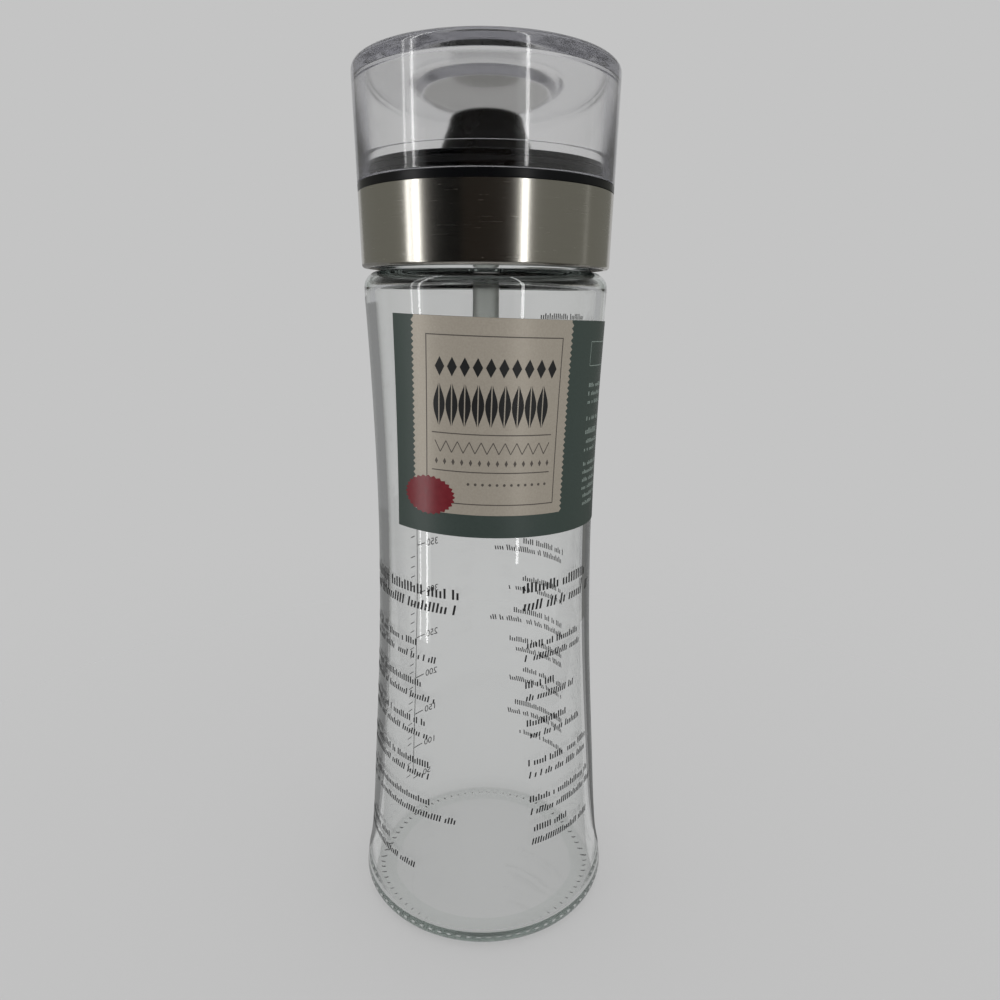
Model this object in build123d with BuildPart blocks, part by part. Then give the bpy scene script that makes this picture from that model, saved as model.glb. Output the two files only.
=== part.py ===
from build123d import *
import os
from math import cos, radians, sin, sqrt

# A glass shaker bottle for salad dressing: a waisted glass body, a steel-banded screw cap with a pour spout,
# and a clear lid over the spout. Millimetres, +Z up, origin at the centre of the face that it stands on.
# The front, where the paper label faces, is -Y.

os.makedirs("parts", exist_ok=True)

# Glass body
heel_radius = 39.8
heel_round = 4.0
waist_radius = 32.5
waist_height = 126.0
shoulder_radius = 34.4
shoulder_height = 191.3
shoulder_round = 4.4
glass_wall = 2.8
heel_wall = 2.8
base_thickness = 3.3
inner_corner = 1.8
push_up = 1.2
rest_ring_width = 3.3
# Share of the way up from heel to waist, and share of the flare that is left there
lower_curve_shares = ((0.05, 0.86), (0.12, 0.70), (0.30, 0.49), (0.48, 0.30), (0.65, 0.14), (0.82, 0.04))
# Share of the way up from waist to shoulder, and share of the shoulder's flare that is reached there
upper_curve_shares = ((0.34, 0.15), (0.69, 0.54), (0.93, 0.92))

# Glass neck, its height measured from the shoulder
neck_radius = 29.5
neck_wall = 2.8
neck_height = 22.6
neck_root_round = 1.0
mouth_root_round = 0.6

# Screw thread on the neck and in the collar
thread_pitch = 4.0
thread_turns = 1.25
thread_depth = 1.1
thread_root_width = 2.0
thread_crest_width = 1.0
thread_side_play = 0.2
thread_tip_play = 0.4
thread_sink = 0.3
thread_below_rim = 6.4

# Rim seal between the glass rim and the pour top
seal_thickness = 1.8
seal_play = 0.1
seal_overhang = 0.6

# Outside of the cap and lid, one even taper from the band's foot to the lid's top
band_foot_radius = 34.8
lid_top_radius = 36.05
band_height = 19.5

# Steel band
band_thickness = 0.5
band_bend = 0.9
band_lip = 1.6

# Screw collar
press_fit = 0.05
lead_in_height = 2.6
lead_in_width = 1.6

# Pour top: flange and deck, lid seat, skirts under the deck
flange_thickness = 2.3
flange_edge_round = 0.3
seat_height = 4.6
seat_thickness = 2.0
seat_edge_round = 0.5
skirt_depth = 3.0
skirt_thickness = 1.3
mouth_ring_depth = 5.0
mouth_ring_thickness = 1.4
mouth_ring_play = 0.4

# Pour spout on the pour top
spout_height = 19.4
spout_lip_radius = 10.2
spout_lip_thickness = 2.4
spout_foot_radius = 18.0
spout_bore_foot_radius = 13.0
# Share of the way up the spout, and share of its flare that is left there
spout_curve_shares = ((0.30, 0.62), (0.54, 0.42), (0.74, 0.26), (0.90, 0.08))

# Vent tube and the three-armed holder for it inside the spout
tube_outer_radius = 3.8
tube_bore_radius = 3.0
tube_length = 66.0
hub_wall = 1.6
hub_height = 10.0
hub_stop = 1.5
hub_rise = 2.0
arm_count = 3
arm_width = 1.8
arm_height = 4.0
arm_bite = 1.5

# Clear lid
lid_height = 29.4
lid_seat_play = 0.1
lid_top_thickness = 3.6
lid_top_wall = 3.1
lid_skirt_wall = 1.9
lid_step_width = 0.8
lid_socket_depth = 6.2
lid_play = 0.3
lid_edge_round = 2.0
lid_inner_round = 1.8
lid_foot_round = 0.4
dish_radius = 20.6
dish_depth = 1.6
dish_slope_width = 3.0

# Lid seal in a groove of the lid seat
groove_height = 1.8
groove_depth = 1.0
groove_below_top = 1.4
lid_seal_clearance = 0.12
lid_seal_round = 0.4

# Paper label
label_above_waist = 0.5
label_below_shoulder = 7.3
label_left_angle = -46.0
label_right_angle = 150.0
label_glue = 0.1
label_thickness = 0.15

# Heights and radii that follow from these
cut_overrun = 5.0
rim_height = shoulder_height + neck_height
deck_bottom = rim_height + seal_thickness + 2 * seal_play
deck_top = deck_bottom + flange_thickness
band_bottom = deck_bottom - band_height
lid_bottom = deck_top + lid_seat_play
lid_top = lid_bottom + lid_height
neck_inner_radius = neck_radius - neck_wall
heel_inner_radius = heel_radius - heel_wall
inner_heel_height = base_thickness + inner_corner
rest_outer_radius = heel_radius - heel_round
rest_inner_radius = rest_outer_radius - rest_ring_width
shoulder_centre = shoulder_radius - shoulder_round
shoulder_inner_round = shoulder_round - glass_wall
head_slope = (lid_top_radius - band_foot_radius) / (lid_top - band_bottom)


# Radius of the cap and lid's common taper at a height
def head_radius(height):
    return band_foot_radius + (height - band_bottom) * head_slope


# Points of the flared curve between two ends, from shares of its rise and of its flare
def curve_points(shares, low, high, narrow, wide):
    return [(narrow + flare * (wide - narrow), low + rise * (high - low)) for rise, flare in shares]


# Curve of the glass from the heel up to the waist, for the outside or the inside
def lower_curve(heel, foot, waist):
    middle = curve_points(lower_curve_shares, foot, waist_height, waist, heel)
    return [(heel, foot), *middle, (waist, waist_height)]


# Curve of the glass from the waist up to the shoulder, for the outside, the inside or the label
def upper_curve(waist, shoulder):
    middle = curve_points(upper_curve_shares, waist_height, shoulder_height, waist, shoulder)
    return [(waist, waist_height), *middle, (shoulder, shoulder_height)]


# Curve of the spout from its foot up to its lip, for the outside or the bore
def spout_curve(foot, foot_height, lip, lip_height):
    middle = curve_points(spout_curve_shares, foot_height, lip_height, lip, foot)
    return [(foot, foot_height), *middle, (lip, lip_height)]


# Upright plane through the axis, turned by an angle about it from the front
def radial_plane(angle):
    turn = radians(angle - 90)
    return Plane(origin=(0, 0, 0), x_dir=(cos(turn), sin(turn), 0), z_dir=(sin(turn), -cos(turn), 0))


# Glass bottle, one blown and pressed piece with its neck thread
upward = (0, 1)
outward = (1, 0)
inner_shoulder_top = (shoulder_centre, shoulder_height + shoulder_inner_round)
neck_root_height = shoulder_height + sqrt(shoulder_round**2 - (neck_radius - shoulder_centre) ** 2)
thread_top = rim_height - thread_below_rim
thread_height = thread_pitch * thread_turns
thread_bottom = thread_top - thread_height
rim_round = neck_wall / 2
rim_centre_height = rim_height - rim_round

with BuildPart() as glass_bottle:
    with BuildSketch(Plane.XZ) as glass_section:
        with BuildLine():
            TangentArc((0, push_up), (rest_inner_radius, 0), tangent=outward)
            Line((rest_inner_radius, 0), (rest_outer_radius, 0))
            RadiusArc((rest_outer_radius, 0), (heel_radius, heel_round), -heel_round)
            Spline(*lower_curve(heel_radius, heel_round, waist_radius), tangents=[upward, upward])
            Spline(*upper_curve(waist_radius, shoulder_radius), tangents=[upward, upward])
            RadiusArc(
                (shoulder_radius, shoulder_height),
                (neck_radius, neck_root_height),
                -shoulder_round,
            )
            Line((neck_radius, neck_root_height), (neck_radius, rim_centre_height))
            ThreePointArc(
                (neck_radius, rim_centre_height),
                (neck_radius - rim_round, rim_height),
                (neck_inner_radius, rim_centre_height),
            )
            Line((neck_inner_radius, rim_centre_height), (neck_inner_radius, inner_shoulder_top[1]))
            Line((neck_inner_radius, inner_shoulder_top[1]), inner_shoulder_top)
            RadiusArc(
                inner_shoulder_top,
                (shoulder_radius - glass_wall, shoulder_height),
                shoulder_inner_round,
            )
            Spline(
                *upper_curve(waist_radius - glass_wall, shoulder_radius - glass_wall),
                tangents=[upward, upward],
            )
            Spline(
                *lower_curve(heel_inner_radius, inner_heel_height, waist_radius - glass_wall),
                tangents=[upward, upward],
            )
            RadiusArc(
                (heel_inner_radius, inner_heel_height),
                (heel_inner_radius - inner_corner, base_thickness),
                inner_corner,
            )
            Line((heel_inner_radius - inner_corner, base_thickness), (0, base_thickness))
            Line((0, base_thickness), (0, push_up))
        make_face()
        neck_corners = glass_section.vertices().filter_by(
            lambda corner: abs(corner.Y - neck_root_height) < neck_root_round / 2
        )
        fillet(neck_corners.sort_by(Axis.X)[0:1], neck_root_round)
        mouth_corners = glass_section.vertices().filter_by(
            lambda corner: abs(corner.X - neck_inner_radius) < neck_root_round / 2
        )
        fillet(mouth_corners.sort_by(Axis.Y)[0:1], mouth_root_round)
    revolve(axis=Axis.Z)
    with BuildLine() as neck_helix:
        Helix(thread_pitch, thread_height, neck_radius, center=(0, 0, thread_bottom))
    neck_thread_plane = Plane(origin=neck_helix.line @ 0, x_dir=(1, 0, 0), z_dir=neck_helix.line % 0)
    with BuildSketch(neck_thread_plane):
        with BuildLine():
            Polyline(
                (-thread_sink, -thread_root_width / 2),
                (-thread_sink, thread_root_width / 2),
                (0, thread_root_width / 2),
                (thread_depth, thread_crest_width / 2),
                (thread_depth, -thread_crest_width / 2),
                (0, -thread_root_width / 2),
                close=True,
            )
        make_face()
    sweep(path=neck_helix.line, is_frenet=True)
glass_bottle.part.label = "glass_bottle"
export_step(glass_bottle.part, "parts/glass_bottle.step")

# Paper label, a thin sheet that follows the glass between waist and shoulder
label_bottom = waist_height + label_above_waist
label_top = shoulder_height - label_below_shoulder
label_outside = label_glue + label_thickness
label_reach = waist_radius + shoulder_radius
with BuildPart() as paper_label:
    with BuildSketch(radial_plane(label_left_angle)):
        with BuildLine():
            inner_line = Spline(
                *upper_curve(waist_radius + label_glue, shoulder_radius + label_glue),
                tangents=[upward, upward],
            )
            outer_line = Spline(
                *upper_curve(waist_radius + label_outside, shoulder_radius + label_outside),
                tangents=[upward, upward],
            )
            Line(inner_line @ 0, outer_line @ 0)
            Line(inner_line @ 1, outer_line @ 1)
        make_face()
        with Locations((0, label_bottom)):
            Rectangle(
                label_reach,
                label_top - label_bottom,
                align=(Align.MIN, Align.MIN),
                mode=Mode.INTERSECT,
            )
    revolve(axis=Axis.Z, revolution_arc=label_right_angle - label_left_angle)
paper_label.part.label = "paper_label"
export_step(paper_label.part, "parts/paper_label.step")

# Rim seal, a flat ring that the cap presses onto the glass rim
seal_outer_radius = neck_radius + seal_overhang
mouth_ring_radius = neck_inner_radius - mouth_ring_play
seal_inner_radius = mouth_ring_radius + seal_play
with BuildPart() as rim_seal:
    with BuildSketch(Plane.XY.offset(rim_height + seal_play)):
        Circle(seal_outer_radius)
        Circle(seal_inner_radius, mode=Mode.SUBTRACT)
    extrude(amount=seal_thickness)
rim_seal.part.label = "rim_seal"
export_step(rim_seal.part, "parts/rim_seal.step")

# Screw collar, the threaded ring inside the steel band
collar_bore_radius = neck_radius + thread_depth + thread_tip_play
collar_bottom = band_bottom + band_thickness
collar_foot_radius = head_radius(collar_bottom) - band_thickness - press_fit
collar_head_radius = head_radius(deck_bottom) - band_thickness - press_fit
skirt_inner_radius = seal_outer_radius + seal_play
skirt_outer_radius = skirt_inner_radius + skirt_thickness
socket_radius = skirt_outer_radius + press_fit
socket_bottom = deck_bottom - skirt_depth - press_fit
thread_drop = (thread_root_width + thread_crest_width) / 2 + thread_side_play
band_inner_bend = band_bend - band_thickness
with BuildPart() as screw_collar:
    with BuildSketch(Plane.XZ) as collar_section:
        with BuildLine():
            Polyline(
                (collar_bore_radius + lead_in_width, collar_bottom),
                (collar_foot_radius, collar_bottom),
                (collar_head_radius, deck_bottom),
                (socket_radius, deck_bottom),
                (socket_radius, socket_bottom),
                (collar_bore_radius, socket_bottom),
                (collar_bore_radius, collar_bottom + lead_in_height),
                close=True,
            )
        make_face()
        collar_foot = collar_section.vertices().group_by(Axis.Y)[0].sort_by(Axis.X)[-1]
        fillet(collar_foot, band_inner_bend + press_fit)
    revolve(axis=Axis.Z)
    with BuildLine() as collar_helix:
        Helix(
            thread_pitch,
            thread_height,
            collar_bore_radius,
            center=(0, 0, thread_bottom - thread_drop),
        )
    collar_thread_plane = Plane(
        origin=collar_helix.line @ 0, x_dir=(1, 0, 0), z_dir=collar_helix.line % 0
    )
    with BuildSketch(collar_thread_plane):
        with BuildLine():
            Polyline(
                (thread_sink, -thread_root_width / 2),
                (thread_sink, thread_root_width / 2),
                (0, thread_root_width / 2),
                (-thread_depth, thread_crest_width / 2),
                (-thread_depth, -thread_crest_width / 2),
                (0, -thread_root_width / 2),
                close=True,
            )
        make_face()
    sweep(path=collar_helix.line, is_frenet=True)
screw_collar.part.label = "screw_collar"
export_step(screw_collar.part, "parts/screw_collar.step")

# Steel band, a thin sleeve whose foot is rolled in under the collar
lip_radius = band_foot_radius - band_lip
with BuildPart() as steel_band:
    with BuildSketch(Plane.XZ) as band_section:
        with BuildLine():
            Polyline(
                (lip_radius, band_bottom),
                (head_radius(band_bottom), band_bottom),
                (head_radius(deck_bottom), deck_bottom),
                (head_radius(deck_bottom) - band_thickness, deck_bottom),
                (head_radius(collar_bottom) - band_thickness, collar_bottom),
                (lip_radius, collar_bottom),
                close=True,
            )
        make_face()
        outer_bend = band_section.vertices().group_by(Axis.Y)[0].sort_by(Axis.X)[-1]
        fillet(outer_bend, band_bend)
        inner_bend = band_section.vertices().filter_by(
            lambda corner: abs(corner.Y - collar_bottom) < band_thickness / 2
        )
        fillet(inner_bend.sort_by(Axis.X)[-1], band_inner_bend)
    revolve(axis=Axis.Z)
steel_band.part.label = "steel_band"
export_step(steel_band.part, "parts/steel_band.step")

# Pour top: flange, deck, lid seat, skirts and the spout in one moulding, with the vent tube's holder
lid_socket_radius = head_radius(lid_bottom) - lid_skirt_wall
seat_radius = lid_socket_radius - lid_play
seat_inner_radius = seat_radius - seat_thickness
seat_top = deck_top + seat_height
groove_top = seat_top - groove_below_top
groove_bottom = groove_top - groove_height
groove_radius = seat_radius - groove_depth
mouth_ring_inner_radius = mouth_ring_radius - mouth_ring_thickness
lip_round = spout_lip_thickness / 2
spout_mouth_radius = spout_lip_radius - spout_lip_thickness
lip_centre_height = deck_top + spout_height - lip_round
hub_radius = tube_outer_radius + press_fit + hub_wall
hub_top = deck_bottom + hub_rise
hub_bottom = hub_top - hub_height
tube_top = hub_top - hub_stop
arm_length = spout_bore_foot_radius + arm_bite
with BuildPart() as pour_top:
    with BuildSketch(Plane.XZ) as top_section:
        with BuildLine():
            Spline(
                *spout_curve(spout_bore_foot_radius, deck_bottom, spout_mouth_radius, lip_centre_height)
            )
            ThreePointArc(
                (spout_mouth_radius, lip_centre_height),
                (spout_lip_radius - lip_round, lip_centre_height + lip_round),
                (spout_lip_radius, lip_centre_height),
            )
            Spline(*spout_curve(spout_foot_radius, deck_top, spout_lip_radius, lip_centre_height))
            Polyline(
                (spout_foot_radius, deck_top),
                (seat_inner_radius, deck_top),
                (seat_inner_radius, seat_top),
                (seat_radius, seat_top),
                (seat_radius, groove_top),
                (groove_radius, groove_top),
                (groove_radius, groove_bottom),
                (seat_radius, groove_bottom),
                (seat_radius, deck_top),
                (head_radius(deck_top), deck_top),
                (head_radius(deck_bottom), deck_bottom),
                (skirt_outer_radius, deck_bottom),
                (skirt_outer_radius, deck_bottom - skirt_depth),
                (skirt_inner_radius, deck_bottom - skirt_depth),
                (skirt_inner_radius, deck_bottom),
                (mouth_ring_radius, deck_bottom),
                (mouth_ring_radius, deck_bottom - mouth_ring_depth),
                (mouth_ring_inner_radius, deck_bottom - mouth_ring_depth),
                (mouth_ring_inner_radius, deck_bottom),
                (spout_bore_foot_radius, deck_bottom),
            )
        make_face()
        seat_corners = top_section.vertices().filter_by(
            lambda corner: abs(corner.Y - seat_top) < seat_edge_round / 2
        )
        fillet(seat_corners, seat_edge_round)
        flange_corners = top_section.vertices().sort_by(Axis.X)[-2:]
        fillet(flange_corners, flange_edge_round)
    revolve(axis=Axis.Z)
    with BuildSketch(Plane.XY.offset(hub_bottom)):
        Circle(hub_radius)
    extrude(amount=hub_height)
    with BuildSketch(Plane.XY.offset(hub_top - arm_height)):
        with PolarLocations(0, arm_count):
            Rectangle(arm_length, arm_width, align=(Align.MIN, Align.CENTER))
    extrude(amount=arm_height)
    with BuildSketch(Plane.XY.offset(hub_bottom)):
        Circle(tube_outer_radius + press_fit)
    extrude(amount=tube_top - hub_bottom, mode=Mode.SUBTRACT)
    with BuildSketch(Plane.XY.offset(hub_bottom)):
        Circle(tube_bore_radius)
    extrude(amount=hub_height + cut_overrun, mode=Mode.SUBTRACT)
pour_top.part.label = "pour_top"
export_step(pour_top.part, "parts/pour_top.step")

# Vent tube, pushed up into its holder
with BuildPart() as vent_tube:
    with BuildSketch(Plane.XY.offset(tube_top - tube_length)):
        Circle(tube_outer_radius)
        Circle(tube_bore_radius, mode=Mode.SUBTRACT)
    extrude(amount=tube_length)
vent_tube.part.label = "vent_tube"
export_step(vent_tube.part, "parts/vent_tube.step")

# Lid seal, a ring in the groove of the lid seat
with BuildPart() as lid_seal:
    with BuildSketch(Plane.XZ) as seal_section:
        with Locations((groove_radius + press_fit, groove_bottom + press_fit)):
            Rectangle(
                lid_socket_radius - lid_seal_clearance - groove_radius - press_fit,
                groove_height - 2 * press_fit,
                align=(Align.MIN, Align.MIN),
            )
        fillet(seal_section.vertices().sort_by(Axis.X)[-2:], lid_seal_round)
    revolve(axis=Axis.Z)
lid_seal.part.label = "lid_seal"
export_step(lid_seal.part, "parts/lid_seal.step")

# Clear lid, a thick-topped cover with a shallow dish in its top and a stepped socket at its foot
lid_step_height = lid_bottom + lid_socket_depth
lid_under_top = lid_top - lid_top_thickness
lid_chamber_radius = lid_socket_radius - lid_step_width
lid_chamber_top_radius = lid_top_radius - lid_top_wall
boss_bottom = lid_under_top - dish_depth
dish_floor_radius = dish_radius - dish_slope_width
with BuildPart() as clear_lid:
    with BuildSketch(Plane.XZ) as lid_section:
        with BuildLine():
            Polyline(
                (0, lid_top - dish_depth),
                (dish_floor_radius, lid_top - dish_depth),
                (dish_radius, lid_top),
                (lid_top_radius, lid_top),
                (head_radius(lid_bottom), lid_bottom),
                (lid_socket_radius, lid_bottom),
                (lid_socket_radius, lid_step_height),
                (lid_chamber_radius, lid_step_height),
                (lid_chamber_top_radius, lid_under_top),
                (dish_radius, lid_under_top),
                (dish_floor_radius, boss_bottom),
                (0, boss_bottom),
                close=True,
            )
        make_face()
        top_edge = lid_section.vertices().group_by(Axis.Y)[-1].sort_by(Axis.X)[-1]
        fillet(top_edge, lid_edge_round)
        foot_edge = lid_section.vertices().group_by(Axis.Y)[0]
        fillet(foot_edge, lid_foot_round)
        chamber_corner = lid_section.vertices().filter_by(
            lambda corner: abs(corner.Y - lid_under_top) < lid_foot_round
        )
        fillet(chamber_corner.sort_by(Axis.X)[-1], lid_inner_round)
        dish_corners = lid_section.vertices().filter_by(
            lambda corner: lid_inner_round < corner.X < dish_radius + lid_foot_round
        )
        fillet(dish_corners, lid_inner_round)
    revolve(axis=Axis.Z)
clear_lid.part.label = "clear_lid"
export_step(clear_lid.part, "parts/clear_lid.step")
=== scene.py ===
from math import acos, atan2, cos, pi, radians, sin, sqrt, tan

import bmesh
import bpy
import numpy as np
from mathutils import Matrix, Vector


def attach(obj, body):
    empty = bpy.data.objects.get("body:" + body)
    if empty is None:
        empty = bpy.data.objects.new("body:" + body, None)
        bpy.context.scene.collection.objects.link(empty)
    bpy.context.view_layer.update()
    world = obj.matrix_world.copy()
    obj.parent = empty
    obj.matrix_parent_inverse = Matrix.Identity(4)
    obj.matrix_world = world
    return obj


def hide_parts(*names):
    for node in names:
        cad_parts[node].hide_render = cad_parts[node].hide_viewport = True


# A glass salad dressing shaker bottle: clear glass body, printed paper label, brushed steel cap with a black
# pour top, and a clear lid. Lengths are written in millimetres and turned to metres where a mesh is made.
# Angles round the bottle are in degrees from the front, where the label faces, towards +X.

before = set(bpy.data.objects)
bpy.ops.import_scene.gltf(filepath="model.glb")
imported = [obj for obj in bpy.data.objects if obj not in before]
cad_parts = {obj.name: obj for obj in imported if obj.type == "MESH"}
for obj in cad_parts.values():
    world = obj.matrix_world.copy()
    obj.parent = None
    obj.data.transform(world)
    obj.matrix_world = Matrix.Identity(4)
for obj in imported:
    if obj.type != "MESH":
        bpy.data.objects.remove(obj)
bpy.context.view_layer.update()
MM = 0.001

# Glass body: the solid's sizes, but for a softer round inside the shoulder
HEEL_RADIUS, HEEL_ROUND = 39.8, 4.0
WAIST_RADIUS, WAIST_HEIGHT = 32.5, 126.0
SHOULDER_RADIUS, SHOULDER_HEIGHT, SHOULDER_ROUND = 34.4, 191.3, 4.4
GLASS_WALL, HEEL_WALL, BASE_THICKNESS = 2.8, 2.8, 3.3
INNER_CORNER, INNER_SHOULDER_ROUND = 1.8, 2.6
# How its outline runs from heel to waist and from waist to shoulder: (share of the height, share of the flare)
LOWER_SHARES = ((0.05, 0.86), (0.12, 0.70), (0.30, 0.49), (0.48, 0.30), (0.65, 0.14), (0.82, 0.04))
UPPER_SHARES = ((0.34, 0.15), (0.69, 0.54), (0.93, 0.92))
NECK_RADIUS, NECK_INNER, RIM_HEIGHT = 29.5, 26.7, 213.9
THREAD_PITCH, THREAD_TURNS, THREAD_BOTTOM = 4.0, 1.25, 202.5
THREAD_DEPTH, THREAD_ROOT, THREAD_CREST, FINE_RINGS_TOP = 1.1, 2.0, 1.0, 210.0
REST_INNER, REST_OUTER, PUSH_UP = 32.5, 35.8, 1.2
# Pressed points round the face that it stands on, and six steps of the mesh to each of them
POINT_COUNT, POINT_DEPTH, POINT_RADIUS, POINT_REACH = 74, 0.42, 34.2, 1.1
GLASS_STEPS = 6 * POINT_COUNT

# Clear lid: outside, socket that fits over the lid seat, room over the spout, and boss under the dished top
LID_BOTTOM, LID_TOP = 218.3, 247.7
LID_FOOT_RADIUS, LID_TOP_RADIUS, LID_TOP_ROUND = 35.334, 36.05, 2.0
SOCKET_RADIUS, SOCKET_TOP = 33.43, 224.5
ROOM_FOOT_RADIUS, ROOM_TOP_RADIUS, ROOM_TOP = 32.63, 32.95, 244.1
BOSS_RADIUS, BOSS_BOTTOM, DISH_RADIUS, DISH_BOTTOM = 20.6, 242.5, 17.6, 246.1
LID_SOFT_ROUND, LID_STEPS = 1.8, 480

# Paper label and its panel on the unrolled skin, x from the front; it went on leaning clockwise
LABEL_X0, LABEL_X1, LABEL_Y0, LABEL_Y1 = -26.8, 87.7, 126.5, 183.9
PANEL_X0, PANEL_X1, PANEL_Y0 = -19.8, 22.9, 132.7
LABEL_GLUE, LABEL_THICKNESS = 0.1, 0.15
LABEL_FACE = LABEL_GLUE + LABEL_THICKNESS
LABEL_LEAN, LABEL_MIDDLE = 1.7, 155.0
# Radius at which print is unrolled, and thickness of a broad and of a fine layer of ink
PRINT_RADIUS, BROAD_INK, FINE_INK = 33.5, 0.02, 0.015


# ---------------------------------------------------------------- shapes

def smooth_line(points):
    """A function from height to radius: the smooth line through points that is upright at both ends."""
    radii, heights = (np.array(side, float) for side in zip(*points))
    gaps, count = np.diff(heights), len(points)
    matrix, right = np.eye(count), np.zeros(count)
    for i in range(1, count - 1):
        below, above = gaps[i - 1], gaps[i]
        matrix[i, i - 1:i + 2] = above, 2 * (below + above), below
        right[i] = 3 * (above * (radii[i] - radii[i - 1]) / below + below * (radii[i + 1] - radii[i]) / above)
    slopes = np.linalg.solve(matrix, right)

    def radius(height):
        i = int(np.clip(np.searchsorted(heights, height) - 1, 0, count - 2))
        t = (height - heights[i]) / gaps[i]
        rise = t * t * (3 - 2 * t)
        return (radii[i] * (1 - rise) + radii[i + 1] * rise
                + gaps[i] * (slopes[i] * t * (1 - t) ** 2 - slopes[i + 1] * t * t * (1 - t)))
    return radius


def curve_points(shares, low, high, narrow, wide):
    return [(narrow + flare * (wide - narrow), low + rise * (high - low)) for rise, flare in shares]


def lower_line(heel, foot, waist):
    middle = curve_points(LOWER_SHARES, foot, WAIST_HEIGHT, waist, heel)
    return smooth_line([(heel, foot), *middle, (waist, WAIST_HEIGHT)])


def upper_line(waist, shoulder):
    middle = curve_points(UPPER_SHARES, WAIST_HEIGHT, SHOULDER_HEIGHT, waist, shoulder)
    return smooth_line([(waist, WAIST_HEIGHT), *middle, (shoulder, SHOULDER_HEIGHT)])


outer_lower = lower_line(HEEL_RADIUS, HEEL_ROUND, WAIST_RADIUS)
outer_upper = upper_line(WAIST_RADIUS, SHOULDER_RADIUS)


def glass_radius(height):
    """Outside radius of the glass between heel and shoulder."""
    return outer_upper(height) if height > WAIST_HEIGHT else outer_lower(max(height, HEEL_ROUND))


def arc(centre, radius, start, end, steps):
    """Points of an arc in the (radius, height) plane, angles in degrees from outward, towards up."""
    turns = [radians(start + (end - start) * i / steps) for i in range(steps + 1)]
    return [(centre[0] + radius * cos(t), centre[1] + radius * sin(t)) for t in turns]


def rounded(corners, steps):
    """A line through corners given as (radius, height, rounding), with each corner turned into an arc."""
    line = []
    for i, (x, z, rounding) in enumerate(corners):
        here = Vector((x, z))
        if rounding == 0 or i in (0, len(corners) - 1):
            line.append((x, z))
            continue
        back = (Vector(corners[i - 1][:2]) - here).normalized()
        ahead = (Vector(corners[i + 1][:2]) - here).normalized()
        half = acos(max(-1, min(1, back.dot(ahead)))) / 2
        reach = rounding / tan(half)
        centre = here + (back + ahead).normalized() * (rounding / sin(half))
        first, last = here + back * reach - centre, here + ahead * reach - centre
        start, turn = atan2(first.y, first.x), first.angle_signed(last)
        for k in range(steps + 1):
            angle = start - turn * k / steps
            line.append((centre.x + rounding * cos(angle), centre.y + rounding * sin(angle)))
    return line


def revolve(name, line, steps, shift=None):
    """A closed, smooth mesh turned from a line that starts and ends on the axis, outside first."""
    vertices, faces, rings = [], [], []
    for radius, height in line:
        if radius < 1e-6:
            rings.append([len(vertices)])
            vertices.append((0, 0, height * MM))
            continue
        rings.append(list(range(len(vertices), len(vertices) + steps)))
        for k in range(steps):
            angle = 2 * pi * k / steps
            r, z = shift(angle, radius, height) if shift else (radius, height)
            vertices.append((r * cos(angle) * MM, r * sin(angle) * MM, z * MM))
    for low, high in zip(rings, rings[1:]):
        for k in range(steps):
            n = (k + 1) % steps
            if len(low) == 1:
                faces.append((low[0], high[n], high[k]))
            elif len(high) == 1:
                faces.append((low[k], low[n], high[0]))
            else:
                faces.append((low[k], low[n], high[n], high[k]))
    mesh = bpy.data.meshes.new(name)
    mesh.from_pydata(vertices, [], faces)
    work = bmesh.new()
    work.from_mesh(mesh)
    bmesh.ops.recalc_face_normals(work, faces=work.faces)
    work.to_mesh(mesh)
    work.free()
    mesh.shade_smooth()
    return mesh


def piece(name, mesh, material, body, replaces=()):
    """Puts a finished mesh into the scene as a piece that rides on a body."""
    thing = bpy.data.objects.new(name, mesh)
    bpy.context.scene.collection.objects.link(thing)
    mesh.materials.clear()
    mesh.materials.append(material)
    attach(thing, body)
    if replaces:
        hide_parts(*replaces)
    return thing


# ---------------------------------------------------------------- materials

def linear(code):
    """Linear light of an sRGB hex colour."""
    parts = [int(code[i:i + 2], 16) / 255 for i in (0, 2, 4)]
    return (*(p / 12.92 if p <= 0.04045 else ((p + 0.055) / 1.055) ** 2.4 for p in parts), 1.0)


def add(tree, kind, inputs=None, **settings):
    """Adds a node with its settings, its input values and its links."""
    node = tree.nodes.new(kind)
    for key, value in settings.items():
        setattr(node, key, value)
    for key, value in (inputs or {}).items():
        if isinstance(value, bpy.types.NodeSocket):
            tree.links.new(value, node.inputs[key])
        else:
            node.inputs[key].default_value = value
    return node


def new_material(name):
    material = bpy.data.materials.new(name)
    material.use_nodes = True
    material.node_tree.nodes.clear()
    return material, material.node_tree


WHITE = (1.0, 1.0, 1.0, 1.0)
PAD_EDGE = 0.3


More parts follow.
